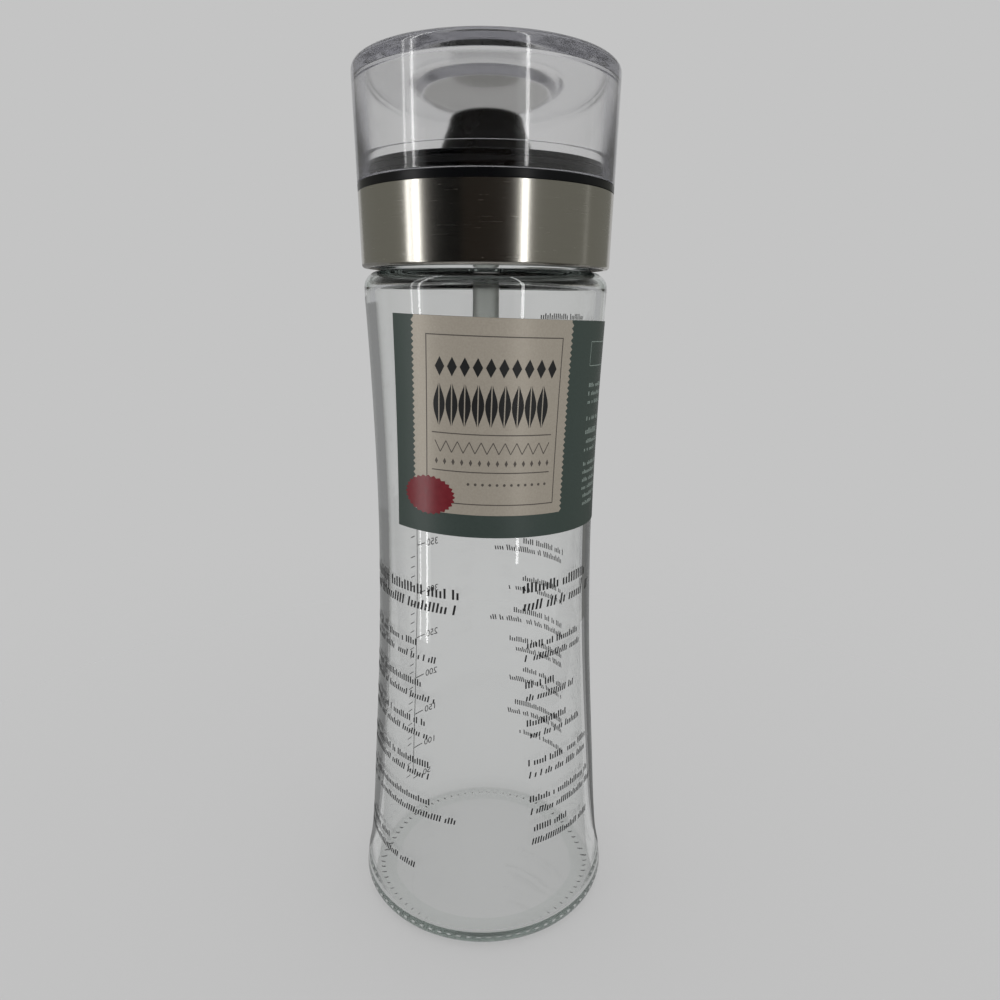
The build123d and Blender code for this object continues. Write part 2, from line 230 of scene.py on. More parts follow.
def clear_material(name, ior, body_colour, density, wave_size, wave_depth, haze, pad):
    """A clear solid whose own tint shows where light goes a long way through it, with a faintly uneven skin.

    Haze: the roughness of its skin, but for the pad. Pad: a matt disc round the axis, as (radius, height that it
    lies below, colour, roughness).
    """
    pad_radius, pad_top, pad_colour, pad_roughness = pad
    material, tree = new_material(name)
    place = add(tree, "ShaderNodeTexCoord").outputs["Object"]
    waves = add(tree, "ShaderNodeTexNoise", {"Vector": place, "Scale": 1 / (wave_size * MM), "Detail": 1.0})
    bump = add(tree, "ShaderNodeBump", {
        "Height": waves.outputs["Fac"], "Distance": wave_depth * MM, "Strength": 1.0})
    apart = add(tree, "ShaderNodeSeparateXYZ", {"Vector": place})
    flat = add(tree, "ShaderNodeCombineXYZ", {"X": apart.outputs["X"], "Y": apart.outputs["Y"]})
    out = add(tree, "ShaderNodeVectorMath", {0: flat.outputs[0]}, operation="LENGTH")
    within = add(tree, "ShaderNodeMapRange", {
        "Value": out.outputs["Value"], "From Min": (pad_radius - PAD_EDGE) * MM,
        "From Max": (pad_radius + PAD_EDGE) * MM, "To Min": 1.0, "To Max": 0.0})
    under = add(tree, "ShaderNodeMath", {0: apart.outputs["Z"], 1: pad_top * MM}, operation="LESS_THAN")
    on_pad = add(tree, "ShaderNodeMath", {0: within.outputs["Result"], 1: under.outputs[0]}, operation="MULTIPLY")
    tone = add(tree, "ShaderNodeMix", {
        "Factor": on_pad.outputs[0], "A": WHITE, "B": linear(pad_colour)}, data_type="RGBA")
    rough = add(tree, "ShaderNodeMapRange", {"Value": on_pad.outputs[0], "To Min": haze, "To Max": pad_roughness})
    shader = add(tree, "ShaderNodeBsdfPrincipled", {
        "Base Color": tone.outputs["Result"], "Roughness": rough.outputs["Result"], "IOR": ior,
        "Transmission Weight": 1.0, "Normal": bump.outputs["Normal"]})
    tint = add(tree, "ShaderNodeVolumeAbsorption", {"Color": linear(body_colour), "Density": density})
    add(tree, "ShaderNodeOutputMaterial", {"Surface": shader.outputs[0], "Volume": tint.outputs[0]})
    return material


# Soda-lime bottle glass, blown and fire-polished: green-grey where light runs along its wall, long slow waves,
# and a scuffed, slightly matt ring where it rests on the table
glass = clear_material("soda_lime_glass_fire_polished", 1.52, "7DA493", 12.0, wave_size=14.0, wave_depth=0.012,
                       haze=0.0, pad=(37.0, 0.55, "F2F5F3", 0.14))
# Clear SAN, injection moulded and polished: a cool lavender-grey where it is thick, matt grey under the middle
clear_plastic = clear_material("clear_san_moulded", 1.57, "6F6F8C", 11.0, wave_size=22.0, wave_depth=0.004,
                               haze=0.08, pad=(17.0, 243.0, "9C9B96", 0.12))


def black_plastic():
    """Black ABS, injection moulded: a fine even spark-eroded skin that breaks up its gloss a little."""
    material, tree = new_material("black_abs_moulded")
    place = add(tree, "ShaderNodeTexCoord").outputs["Object"]
    grain = add(tree, "ShaderNodeTexNoise", {"Vector": place, "Scale": 1 / (0.35 * MM), "Detail": 2.0})
    cloud = add(tree, "ShaderNodeTexNoise", {"Vector": place, "Scale": 1 / (9 * MM), "Detail": 2.0})
    rough = add(tree, "ShaderNodeMapRange", {"Value": cloud.outputs["Fac"], "To Min": 0.22, "To Max": 0.34})
    bump = add(tree, "ShaderNodeBump", {"Height": grain.outputs["Fac"], "Distance": 0.01 * MM, "Strength": 0.6})
    shader = add(tree, "ShaderNodeBsdfPrincipled", {
        "Base Color": linear("090A0D"), "Roughness": rough.outputs["Result"], "IOR": 1.54,
        "Specular IOR Level": 0.2, "Normal": bump.outputs["Normal"]})
    add(tree, "ShaderNodeOutputMaterial", {"Surface": shader.outputs[0]})
    return material


def brushed_steel():
    """Stainless steel, brushed round the sleeve: fine level lines that stretch each highlight up and down."""
    material, tree = new_material("stainless_steel_brushed")
    place = add(tree, "ShaderNodeTexCoord").outputs["Object"]
    apart = add(tree, "ShaderNodeSeparateXYZ", {"Vector": place})
    turn = add(tree, "ShaderNodeMath", {0: apart.outputs["Y"], 1: apart.outputs["X"]}, operation="ARCTAN2")
    # Brush lines about 0.12 mm apart and 12 mm long, drawn twice as coarse as real ones so that they show
    along = add(tree, "ShaderNodeMath", {0: turn.outputs[0], 1: 3.0}, operation="MULTIPLY")
    across = add(tree, "ShaderNodeMath", {0: apart.outputs["Z"], 1: 1 / (0.24 * MM)}, operation="MULTIPLY")
    strokes = add(tree, "ShaderNodeCombineXYZ", {"X": along.outputs[0], "Y": across.outputs[0]})
    lines = add(tree, "ShaderNodeTexNoise", {
        "Vector": strokes.outputs[0], "Scale": 1.0, "Detail": 3.0, "Roughness": 0.6})
    rough = add(tree, "ShaderNodeMapRange", {
        "Value": lines.outputs["Fac"], "From Min": 0.3, "From Max": 0.7, "To Min": 0.235, "To Max": 0.275})
    tone = add(tree, "ShaderNodeMix", {
        "Factor": lines.outputs["Fac"], "A": linear("BFBBB3"), "B": linear("CAC7BF")}, data_type="RGBA")
    bump = add(tree, "ShaderNodeBump", {"Height": lines.outputs["Fac"], "Distance": 0.001 * MM, "Strength": 0.5})
    round_way = add(tree, "ShaderNodeTangent", direction_type="RADIAL", axis="Z")
    shader = add(tree, "ShaderNodeBsdfPrincipled", {
        "Base Color": tone.outputs["Result"], "Metallic": 1.0, "Roughness": rough.outputs["Result"],
        "Anisotropic": 0.85, "Anisotropic Rotation": 0.25, "Tangent": round_way.outputs[0],
        "Normal": bump.outputs["Normal"]})
    add(tree, "ShaderNodeOutputMaterial", {"Surface": shader.outputs[0]})
    return material


def tube_plastic():
    """Natural polyethylene tube, extruded: milky grey, light comes through it softly, faint lines along it."""
    material, tree = new_material("polyethylene_tube_extruded")
    place = add(tree, "ShaderNodeTexCoord").outputs["Object"]
    stretch = add(tree, "ShaderNodeMapping", {"Vector": place, "Scale": (1.0, 1.0, 0.03)})
    lines = add(tree, "ShaderNodeTexNoise", {
        "Vector": stretch.outputs[0], "Scale": 1 / (0.9 * MM), "Detail": 1.0})
    rough = add(tree, "ShaderNodeMapRange", {"Value": lines.outputs["Fac"], "To Min": 0.28, "To Max": 0.42})
    shader = add(tree, "ShaderNodeBsdfPrincipled", {
        "Base Color": linear("F6F8F5"), "Roughness": rough.outputs["Result"], "IOR": 1.51,
        "Transmission Weight": 0.9})
    add(tree, "ShaderNodeOutputMaterial", {"Surface": shader.outputs[0]})
    return material


def silicone():
    """Silicone, compression moulded: a soft dull dark skin with a trace of dust in its roughness."""
    material, tree = new_material("silicone_moulded")
    place = add(tree, "ShaderNodeTexCoord").outputs["Object"]
    dust = add(tree, "ShaderNodeTexNoise", {"Vector": place, "Scale": 1 / (1.2 * MM), "Detail": 3.0})
    rough = add(tree, "ShaderNodeMapRange", {"Value": dust.outputs["Fac"], "To Min": 0.45, "To Max": 0.65})
    shader = add(tree, "ShaderNodeBsdfPrincipled", {
        "Base Color": linear("1C1C1E"), "Roughness": rough.outputs["Result"], "IOR": 1.41})
    add(tree, "ShaderNodeOutputMaterial", {"Surface": shader.outputs[0]})
    return material


def printed(name, colour, second, rough_low, rough_high, fleck, metallic=0.0, back=None):
    """A printed colour on coated paper or glass: two near tones in small flecks, with its own sheen.

    Back: the colour of the bare paper on the side that faces the bottle's middle, seen through the glass.
    """
    material, tree = new_material(name)
    place = add(tree, "ShaderNodeTexCoord").outputs["Object"]
    flecks = add(tree, "ShaderNodeTexNoise", {"Vector": place, "Scale": 1 / (fleck * MM), "Detail": 3.0})
    tone = add(tree, "ShaderNodeMix", {
        "Factor": flecks.outputs["Fac"], "A": linear(colour), "B": linear(second)}, data_type="RGBA")
    rough = add(tree, "ShaderNodeMapRange", {
        "Value": flecks.outputs["Fac"], "To Min": rough_low, "To Max": rough_high})
    if back:
        face = add(tree, "ShaderNodeNewGeometry")
        outward = add(tree, "ShaderNodeVectorMath", {0: place, 1: (1.0, 1.0, 0.0)}, operation="MULTIPLY")
        facing = add(tree, "ShaderNodeVectorMath", {
            0: outward.outputs[0], 1: face.outputs["True Normal"]}, operation="DOT_PRODUCT")
        inner = add(tree, "ShaderNodeMath", {0: facing.outputs["Value"], 1: 0.0}, operation="LESS_THAN")
        tone = add(tree, "ShaderNodeMix", {
            "Factor": inner.outputs[0], "A": tone.outputs["Result"], "B": linear(back)}, data_type="RGBA")
    shader = add(tree, "ShaderNodeBsdfPrincipled", {
        "Base Color": tone.outputs["Result"], "Metallic": metallic, "Roughness": rough.outputs["Result"]})
    add(tree, "ShaderNodeOutputMaterial", {"Surface": shader.outputs[0]})
    return material


abs_black = black_plastic()
steel = brushed_steel()
tube = tube_plastic()
rubber = silicone()
# Coated label paper, offset printed dark green-grey and varnished satin
green_paper = printed("coated_paper_green_ink", "323F3A", "3A4843", 0.38, 0.50, fleck=0.6, back="F4F2EC")
# Pearl taupe ink with metal flake, which glints a little
taupe_ink = printed("pearl_taupe_ink", "958D81", "A9A194", 0.30, 0.46, fleck=0.5, metallic=0.15)
# Black screen ink, fired on to the glass or printed on the label: even and dull
black_ink = printed("black_screen_ink", "17181A", "1E1F21", 0.45, 0.60, fleck=0.8)
# Brown-black, deep red and pale grey offset inks: the thin lines dull, the red as glossy as its varnish
dark_line_ink = printed("dark_brown_offset_ink", "4A443E", "554E47", 0.45, 0.55, fleck=0.8)
red_ink = printed("deep_red_offset_ink", "64111C", "7A1824", 0.25, 0.35, fleck=1.5)
pale_ink = printed("pale_grey_offset_ink", "76837D", "828E88", 0.45, 0.55, fleck=0.8)


# ---------------------------------------------------------------- glass bottle

def thread_lift(angle, height):
    """How far the thread stands out from the neck."""
    lift = 0.0
    for turn in (0, 1):
        share = angle / (2 * pi) + turn
        if share <= THREAD_TURNS:
            off = abs(height - THREAD_BOTTOM - THREAD_PITCH * share)
            flank = (THREAD_ROOT / 2 - off) / ((THREAD_ROOT - THREAD_CREST) / 2)
            taper = min(1, share * 12, (THREAD_TURNS - share) * 12)
            lift = max(lift, THREAD_DEPTH * max(0, min(1, flank)) * max(0, taper))
    return lift


def glass_relief(angle, radius, height):
    """Thread round the neck, and small pressed points round the face that the bottle stands on."""
    thread_top = THREAD_BOTTOM + THREAD_PITCH * THREAD_TURNS
    if THREAD_BOTTOM - 2 < height < thread_top + 2 and radius > NECK_RADIUS - 0.1:
        return radius + thread_lift(angle, height), height
    if height <= POINT_DEPTH + 0.001 and REST_INNER + 0.2 < radius < REST_OUTER - 0.2:
        across = max(0, 1 - ((radius - POINT_RADIUS) / POINT_REACH) ** 2)
        return radius, height - POINT_DEPTH * (max(0, cos(POINT_COUNT * angle)) ** 2 * across)
    return radius, height


shoulder_centre = (SHOULDER_RADIUS - SHOULDER_ROUND, SHOULDER_HEIGHT)
neck_root = SHOULDER_HEIGHT + sqrt(SHOULDER_ROUND ** 2 - (NECK_RADIUS - shoulder_centre[0]) ** 2)
heel_inner = HEEL_RADIUS - HEEL_WALL
inner_foot = BASE_THICKNESS + INNER_CORNER
inner_lower = lower_line(heel_inner, inner_foot, WAIST_RADIUS - GLASS_WALL)
inner_upper = upper_line(WAIST_RADIUS - GLASS_WALL, SHOULDER_RADIUS - GLASS_WALL)
under_shoulder = SHOULDER_HEIGHT + SHOULDER_ROUND - GLASS_WALL
inner_round_height = under_shoulder - INNER_SHOULDER_ROUND
inner_round_radius = inner_upper(inner_round_height) - INNER_SHOULDER_ROUND

# Outside: push-up, resting ring, heel, waist, shoulder, neck and rim
glass_line = [(REST_INNER * i / 8, PUSH_UP - (PUSH_UP - POINT_DEPTH) * (i / 8) ** 2) for i in range(8)]
glass_line += [(r, POINT_DEPTH) for r in (REST_INNER, 32.8, 33.1, 33.5, 34.0, 34.5, 34.9, 35.3, 35.6, REST_OUTER)]
glass_line += [(x, max(z, POINT_DEPTH)) for x, z in arc((REST_OUTER, HEEL_ROUND), HEEL_ROUND, -65, 0, 9)]
glass_line += [(outer_lower(z), z) for z in np.linspace(HEEL_ROUND, WAIST_HEIGHT, 32)[1:]]
glass_line += [(outer_upper(z), z) for z in np.linspace(WAIST_HEIGHT, SHOULDER_HEIGHT, 18)[1:]]
glass_line += arc(shoulder_centre, SHOULDER_ROUND, 0, 83, 9)[1:]
glass_line += arc((NECK_RADIUS + 1.0, neck_root + 1.0), 1.0, -90, -180, 5)
glass_line += [(NECK_RADIUS, z) for z in np.arange(THREAD_BOTTOM - THREAD_ROOT, FINE_RINGS_TOP, 0.4)]
glass_line += arc((NECK_RADIUS - GLASS_WALL / 2, RIM_HEIGHT - GLASS_WALL / 2), GLASS_WALL / 2, 0, 180, 10)
# Inside: neck, shoulder, waist, heel and base
glass_line += rounded([(NECK_INNER, 212.0, 0), (NECK_INNER, under_shoulder, 0.6),
                       (inner_round_radius, under_shoulder, 0)], 3)[:-1]
glass_line += arc((inner_round_radius, inner_round_height), INNER_SHOULDER_ROUND, 90, 0, 8)
glass_line += [(inner_upper(z), z) for z in np.linspace(inner_round_height, WAIST_HEIGHT, 18)[1:]]
glass_line += [(inner_lower(z), z) for z in np.linspace(WAIST_HEIGHT, inner_foot, 28)[1:]]
glass_line += arc((heel_inner - INNER_CORNER, inner_foot), INNER_CORNER, 0, -90, 9)[1:]
glass_line += [(r, BASE_THICKNESS) for r in (24.0, 16.0, 8.0, 0.0)]
bottle = piece("clear_glass_body", revolve("clear_glass_body", glass_line, GLASS_STEPS, glass_relief), glass,
               "bottle", ["glass_bottle"])


# ---------------------------------------------------------------- clear lid

lid_line = rounded([
    (0, BOSS_BOTTOM, 0), (DISH_RADIUS, BOSS_BOTTOM, LID_SOFT_ROUND), (BOSS_RADIUS, ROOM_TOP, LID_SOFT_ROUND),
    (ROOM_TOP_RADIUS, ROOM_TOP, LID_SOFT_ROUND), (ROOM_FOOT_RADIUS, SOCKET_TOP, 0.15),
    (SOCKET_RADIUS, SOCKET_TOP, 0.1), (SOCKET_RADIUS, LID_BOTTOM, 0.4), (LID_FOOT_RADIUS, LID_BOTTOM, 0.4),
    (LID_TOP_RADIUS, LID_TOP, LID_TOP_ROUND), (BOSS_RADIUS, LID_TOP, LID_SOFT_ROUND),
    (DISH_RADIUS, DISH_BOTTOM, LID_SOFT_ROUND), (0, DISH_BOTTOM, 0)], 6)
piece("clear_cover", revolve("clear_cover", lid_line, LID_STEPS), clear_plastic, "lid",
      ["clear_lid"])


# ---------------------------------------------------------------- how label and print are made

def new_tree(name, inputs):
    """A geometry tree with its way in, its way out and its named inputs."""
    tree = bpy.data.node_groups.new(name, "GeometryNodeTree")
    tree.interface.new_socket("Geometry", in_out="OUTPUT", socket_type="NodeSocketGeometry")
    tree.interface.new_socket("Geometry", in_out="INPUT", socket_type="NodeSocketGeometry")
    for label_text, kind in inputs.items():
        tree.interface.new_socket(label_text, in_out="INPUT", socket_type="NodeSocket" + kind)
    return tree, add(tree, "NodeGroupInput").outputs


def made_by(tree, mesh, values):
    """The mesh that a geometry tree makes of a mesh, with the tree's inputs set by name."""
    carrier = bpy.data.objects.new("carrier", mesh)
    bpy.context.scene.collection.objects.link(carrier)
    step = carrier.modifiers.new("step", "NODES")
    step.node_group = tree
    for item in tree.interface.items_tree:
        if item.in_out == "INPUT" and item.name in values:
            step[item.identifier] = values[item.name]
    seen = carrier.evaluated_get(bpy.context.evaluated_depsgraph_get())
    result = bpy.data.meshes.new_from_object(seen)
    bpy.data.objects.remove(carrier)
    return result


# Row of one mark repeated at an even step: the mark is drawn in a unit square and stands on the row's line
row_tree, given = new_tree("row_of_marks", {
    "Count": "Int", "Step": "Vector", "Width": "Float", "Height": "Float", "Shortest": "Float",
    "Left out": "Float", "Seed": "Int", "Ink": "Material"})
line = add(row_tree, "GeometryNodeMeshLine", {"Count": given["Count"], "Offset": given["Step"]})
gap = add(row_tree, "FunctionNodeRandomValue", {
    "Probability": given["Left out"], "Seed": given["Seed"]}, data_type="BOOLEAN")
kept = add(row_tree, "GeometryNodeDeleteGeometry", {
    "Geometry": line.outputs[0], "Selection": gap.outputs["Value"]}, domain="POINT")
tall = add(row_tree, "FunctionNodeRandomValue", {"Min": 0, "Max": 1, "Seed": given["Seed"]}, data_type="INT")
share = add(row_tree, "ShaderNodeMapRange", {"Value": tall.outputs["Value"], "To Min": given["Shortest"]})
height = add(row_tree, "ShaderNodeMath", {0: share.outputs["Result"], 1: given["Height"]}, operation="MULTIPLY")
size = add(row_tree, "ShaderNodeCombineXYZ", {"X": given["Width"], "Y": height.outputs[0], "Z": 1.0})
copies = add(row_tree, "GeometryNodeInstanceOnPoints", {
    "Points": kept.outputs[0], "Instance": given["Geometry"], "Scale": size.outputs[0]})
real = add(row_tree, "GeometryNodeRealizeInstances", {"Geometry": copies.outputs[0]})
inked = add(row_tree, "GeometryNodeSetMaterial", {"Geometry": real.outputs[0], "Material": given["Ink"]})
add(row_tree, "NodeGroupOutput", {"Geometry": inked.outputs[0]})

# Print laid on a skin: a flat film, x to the right and y up, is bent round the bottle and set down on the skin.
# Each point's place is found by a ray that comes in from outside the bottle.
RAY_START = 0.06
wrap_tree, given = new_tree("laid_on_skin", {
    "Skin": "Object", "Lift": "Float", "Radius": "Float", "Ink": "Material"})
flat = add(wrap_tree, "ShaderNodeSeparateXYZ", {
    "Vector": add(wrap_tree, "GeometryNodeInputPosition").outputs[0]})
turn = add(wrap_tree, "ShaderNodeMath", {0: flat.outputs["X"], 1: given["Radius"]}, operation="DIVIDE")
side = add(wrap_tree, "ShaderNodeMath", {0: turn.outputs[0]}, operation="SINE")
front = add(wrap_tree, "ShaderNodeMath", {0: turn.outputs[0]}, operation="COSINE")
front = add(wrap_tree, "ShaderNodeMath", {0: front.outputs[0], 1: -1.0}, operation="MULTIPLY")
outward = add(wrap_tree, "ShaderNodeCombineXYZ", {"X": side.outputs[0], "Y": front.outputs[0]})
level_at = add(wrap_tree, "ShaderNodeCombineXYZ", {"Z": flat.outputs["Y"]})
far = add(wrap_tree, "ShaderNodeVectorMath", {0: outward.outputs[0], "Scale": RAY_START}, operation="SCALE")
start_at = add(wrap_tree, "ShaderNodeVectorMath", {0: far.outputs[0], 1: level_at.outputs[0]}, operation="ADD")
inward = add(wrap_tree, "ShaderNodeVectorMath", {0: outward.outputs[0], "Scale": -1.0}, operation="SCALE")
skin = add(wrap_tree, "GeometryNodeObjectInfo", {"Object": given["Skin"]}, transform_space="ORIGINAL")
ray = add(wrap_tree, "GeometryNodeRaycast", {
    "Target Geometry": skin.outputs["Geometry"], "Source Position": start_at.outputs[0],
    "Ray Direction": inward.outputs[0], "Ray Length": RAY_START})
depth = add(wrap_tree, "ShaderNodeMath", {0: RAY_START, 1: ray.outputs["Hit Distance"]}, operation="SUBTRACT")
raised = add(wrap_tree, "ShaderNodeMath", {0: flat.outputs["Z"], 1: given["Lift"]}, operation="ADD")
reach = add(wrap_tree, "ShaderNodeMath", {0: depth.outputs[0], 1: raised.outputs[0]}, operation="ADD")
there = add(wrap_tree, "ShaderNodeVectorMath", {
    0: outward.outputs[0], "Scale": reach.outputs[0]}, operation="SCALE")
there = add(wrap_tree, "ShaderNodeVectorMath", {0: there.outputs[0], 1: level_at.outputs[0]}, operation="ADD")
laid = add(wrap_tree, "GeometryNodeSetPosition", {"Geometry": given["Geometry"], "Position": there.outputs[0]})
real = add(wrap_tree, "GeometryNodeRealizeInstances", {"Geometry": laid.outputs[0]})
inked = add(wrap_tree, "GeometryNodeSetMaterial", {"Geometry": real.outputs[0], "Material": given["Ink"]})
add(wrap_tree, "NodeGroupOutput", {"Geometry": inked.outputs[0]})

# Marks in a unit square; a leaf is drawn as two halves
BLOCK = [(0, 0), (1, 0), (1, 1), (0, 1)]
DIAMOND = [(0.5, 0), (1, 0.5), (0.5, 1), (0, 0.5)]
TOOTH_RIGHT, TOOTH_LEFT = [(0, 0), (1, 0.5), (0, 1)], [(0, 0), (0, 1), (-1, 0.5)]
DOT = [(0.5 + 0.5 * cos(pi * k / 8), 0.5 + 0.5 * sin(pi * k / 8)) for k in range(16)]
HALF_LEAF = [(0.5 + 0.5 * sin(pi * k / 12) ** 1.3, k / 12) for k in range(13)]


def row(mark, x, y, count, step, width, height, shortest=1.0, left_out=0.0, seed=0, up=False):
    """Outlines in mm of one mark repeated along a row, or up a column, from a point."""
    shape = bpy.data.meshes.new("mark")
    shape.from_pydata([(a, b, 0) for a, b in mark], [], [list(range(len(mark)))])
    made = made_by(row_tree, shape, {
        "Count": count, "Step": (0, step * MM, 0) if up else (step * MM, 0, 0), "Width": width * MM,
        "Height": height * MM, "Shortest": shortest, "Left out": left_out, "Seed": seed})
    corners = [(x + vertex.co.x / MM, y + vertex.co.y / MM) for vertex in made.vertices]
    return [[corners[i] for i in face.vertices] for face in made.polygons]


def box(x0, y0, x1, y1):
    return [(x0, y0), (x1, y0), (x1, y1), (x0, y1)]


def stroke(points, width):
    """A band of even width along a line of points, as quads that meet."""
    bands = []
    for (x0, y0), (x1, y1) in zip(points, points[1:]):
        run = sqrt((x1 - x0) ** 2 + (y1 - y0) ** 2)
        ox, oy = -(y1 - y0) / run * width / 2, (x1 - x0) / run * width / 2
        bands.append([(x0 + ox, y0 + oy), (x0 - ox, y0 - oy), (x1 - ox, y1 - oy), (x1 + ox, y1 + oy)])
    return bands


def tilted(outlines):
    """Outlines that lean as the label does."""
    c, s = cos(radians(LABEL_LEAN)), sin(radians(LABEL_LEAN))
    return [[(x * c + (y - LABEL_MIDDLE) * s, LABEL_MIDDLE + (y - LABEL_MIDDLE) * c - x * s) for x, y in outline]
            for outline in outlines]


def bends(outlines, axis, step):
    """Where outlines that cross a line of a grid are cut, so that they can bend with the skin."""
    ends = [(min(point[axis] for point in outline), max(point[axis] for point in outline)) for outline in outlines]
    spans = [(int(low // step), int(high // step)) for low, high in ends]
    crossed = {k for first, last in spans if last > first for k in range(first, last + 1)}
    lowest, highest = min(low for low, _ in ends), max(high for _, high in ends)
    return [k * step + 0.013 for k in sorted(crossed) if lowest < k * step + 0.013 < highest]


def film(name, outlines, lift, thickness, ink):
    """A closed film of ink or paper in the outlines' shape, laid on the glass or at a lift above it."""
    work = bmesh.new()
    for outline in outlines:
        face = work.faces.new([work.verts.new((x, y, 0)) for x, y in outline])
        face.normal_update()
        if face.normal.z < 0:
            face.normal_flip()
    bmesh.ops.remove_doubles(work, verts=work.verts, dist=1e-4)
    # Hundreds of small marks needn't bend
    for axis, step in ((0, 1.0), (1, 2.0)) if len(outlines) < 400 else ():
        for level in bends(outlines, axis, step):
            parts = work.verts[:] + work.edges[:] + work.faces[:]
            way = (1 - axis, axis, 0)
            bmesh.ops.bisect_plane(work, geom=parts, plane_co=Vector(way) * level, plane_no=way, dist=1e-5)
    made = bmesh.ops.extrude_face_region(work, geom=work.faces[:], use_keep_orig=True)
    for item in made["geom"]:
        if isinstance(item, bmesh.types.BMVert):
            item.co.z = thickness
    bmesh.ops.recalc_face_normals(work, faces=work.faces)
    bmesh.ops.scale(work, vec=(MM, MM, MM), verts=work.verts)
    sheet = bpy.data.meshes.new(name)
    work.to_mesh(sheet)
    work.free()
    mesh = made_by(wrap_tree, sheet, {
        "Skin": bottle, "Lift": lift * MM, "Radius": PRINT_RADIUS * MM, "Ink": ink})
    mesh.name = name
    work = bmesh.new()
    work.from_mesh(mesh)
    bmesh.ops.triangulate(work, faces=work.faces[:])
    work.to_mesh(mesh)
    work.free()
    mesh.shade_smooth()
    mesh.set_sharp_from_angle(angle=radians(40))
    return piece(name, mesh, ink, "bottle")


# ---------------------------------------------------------------- paper label

# Paper, tilted as it was stuck on, in the place of the plain sheet
label = film("label_sheet", tilted([box(LABEL_X0, LABEL_Y0, LABEL_X1, LABEL_Y1)]), LABEL_GLUE, LABEL_THICKNESS,
             green_paper)
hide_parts("paper_label")

# Pearl panel with pinked edges, 33 teeth of 1.53 mm on each side
panel = [box(PANEL_X0, PANEL_Y0, PANEL_X1, LABEL_Y1 - 0.05)]
panel += row(TOOTH_RIGHT, PANEL_X1, PANEL_Y0 + 0.1, 33, 1.53, 0.75, 1.53, up=True)
panel += row(TOOTH_LEFT, PANEL_X0, PANEL_Y0 + 0.1, 33, 1.53, 0.75, 1.53, up=True)
film("label_panel", tilted(panel), LABEL_FACE, BROAD_INK, taupe_ink)

# Hairline frame and rules, zigzag, small diamonds and dots in brown-black
frame_x0, frame_x1, frame_y0, frame_y1, hair = -16.2, 20.3, 135.5, 179.4, 0.28
rule_x0, rule_x1 = -14.5, 18.4
thin = [box(frame_x0, frame_y0, frame_x1, frame_y0 + hair), box(frame_x0, frame_y1 - hair, frame_x1, frame_y1),
        box(frame_x0, frame_y0 + hair, frame_x0 + hair, frame_y1 - hair),
        box(frame_x1 - hair, frame_y0 + hair, frame_x1, frame_y1 - hair),
        box(rule_x0, 154.2, rule_x1, 154.2 + hair), box(rule_x0, 144.2, rule_x1, 144.2 + hair)]
thin += stroke([(-13.6 + 1.575 * k, 149.3 if k % 2 else 152.3) for k in range(21)], 0.24)
thin += row(DIAMOND, -13.6, 145.9, 14, 2.37, 0.9, 1.8)
thin += row(DOT, -4.6, 140.7, 12, 1.95, 0.75, 0.75)
film("label_thin_print", tilted(thin), LABEL_FACE + BROAD_INK, FINE_INK, dark_line_ink)

# Bold leaves, split down the middle, under a row of diamonds in black ink
leaf_step, leaf_width, leaf_height, leaf_foot, leaf_gap = 3.45, 2.9, 11.0, 156.2, 0.16
bold = []
for k in range(9):
    left = -13.92 + leaf_step * k
    bold.append([(left - leaf_gap + leaf_width * (1 - a), leaf_foot + leaf_height * b) for a, b in HALF_LEAF])
    bold.append([(left + leaf_gap + leaf_width * a, leaf_foot + leaf_height * b) for a, b in HALF_LEAF])
bold += row(DIAMOND, -13.6, 169.0, 10, 3.3, 2.6, 4.9)
film("label_bold_print", tilted(bold), LABEL_FACE + BROAD_INK, FINE_INK, black_ink)

# Plain red oval seal with a pinked edge of 28 teeth
seal = [(-15.6 + (7.6 + 0.35 * cos(28 * a)) * cos(a), 137.1 + (5.2 + 0.25 * cos(28 * a)) * sin(a))
        for a in [2 * pi * k / 112 for k in range(112)]]
film("label_seal", tilted([seal]), LABEL_FACE + 2 * BROAD_INK, BROAD_INK, red_ink)

# Pale print on the side panel: a box, and two columns of short rows of plain marks as (height, count, mark height)
pale = stroke([(32.6, 172.0), (32.6, 178.4), (46.4, 178.4), (46.4, 172.0), (32.6, 172.0)], 0.22)
side_rows = [(166.2, 15, 1.1), (163.9, 13, 1.1), (161.6, 16, 1.1), (157.0, 14, 1.1), (153.2, 11, 1.6),
             (150.6, 15, 1.1), (148.3, 12, 1.1), (144.2, 16, 1.1), (141.9, 14, 1.1), (139.6, 17, 1.1),
             (137.3, 13, 1.1), (135.0, 15, 1.1), (132.7, 10, 1.1)]
for k, (y, count, tall) in enumerate(side_rows):
    pale += row(BLOCK, 33.2, y, count, 0.95, 0.6, tall, shortest=0.7, left_out=0.16, seed=40 + k)
    pale += row(BLOCK, 52.0, y, count + 6, 0.95, 0.6, 1.1, shortest=0.7, left_out=0.16, seed=70 + k)
film("label_side_print", tilted(pale), LABEL_FACE, FINE_INK, pale_ink)


# ---------------------------------------------------------------- print on the glass

def print_rows(rows, begin):
    """Rows of plain upright marks in groups, as (height, end angle, mark height); every other row leans.

    They begin at one angle at the top, and a little further round with each row down.
    """
    outlines = []
    for k, (z, end, tall) in enumerate(rows):
        start = begin + (110 - z) / 78.6 * 4.3
        step = (1.25 if tall > 2.5 else 0.92) * (PRINT_RADIUS / glass_radius(z))
        count = int(radians(end - start) * PRINT_RADIUS / step)
        marks = row(BLOCK, radians(start) * PRINT_RADIUS, z, count, step, step * 0.5, tall, shortest=0.7,
                    left_out=0.14, seed=5 + k + int(begin))
        lean = 0.2 if k % 2 else 0.0
        outlines += [[(x + (y - z) * lean, y) for x, y in outline] for outline in marks]
    return outlines


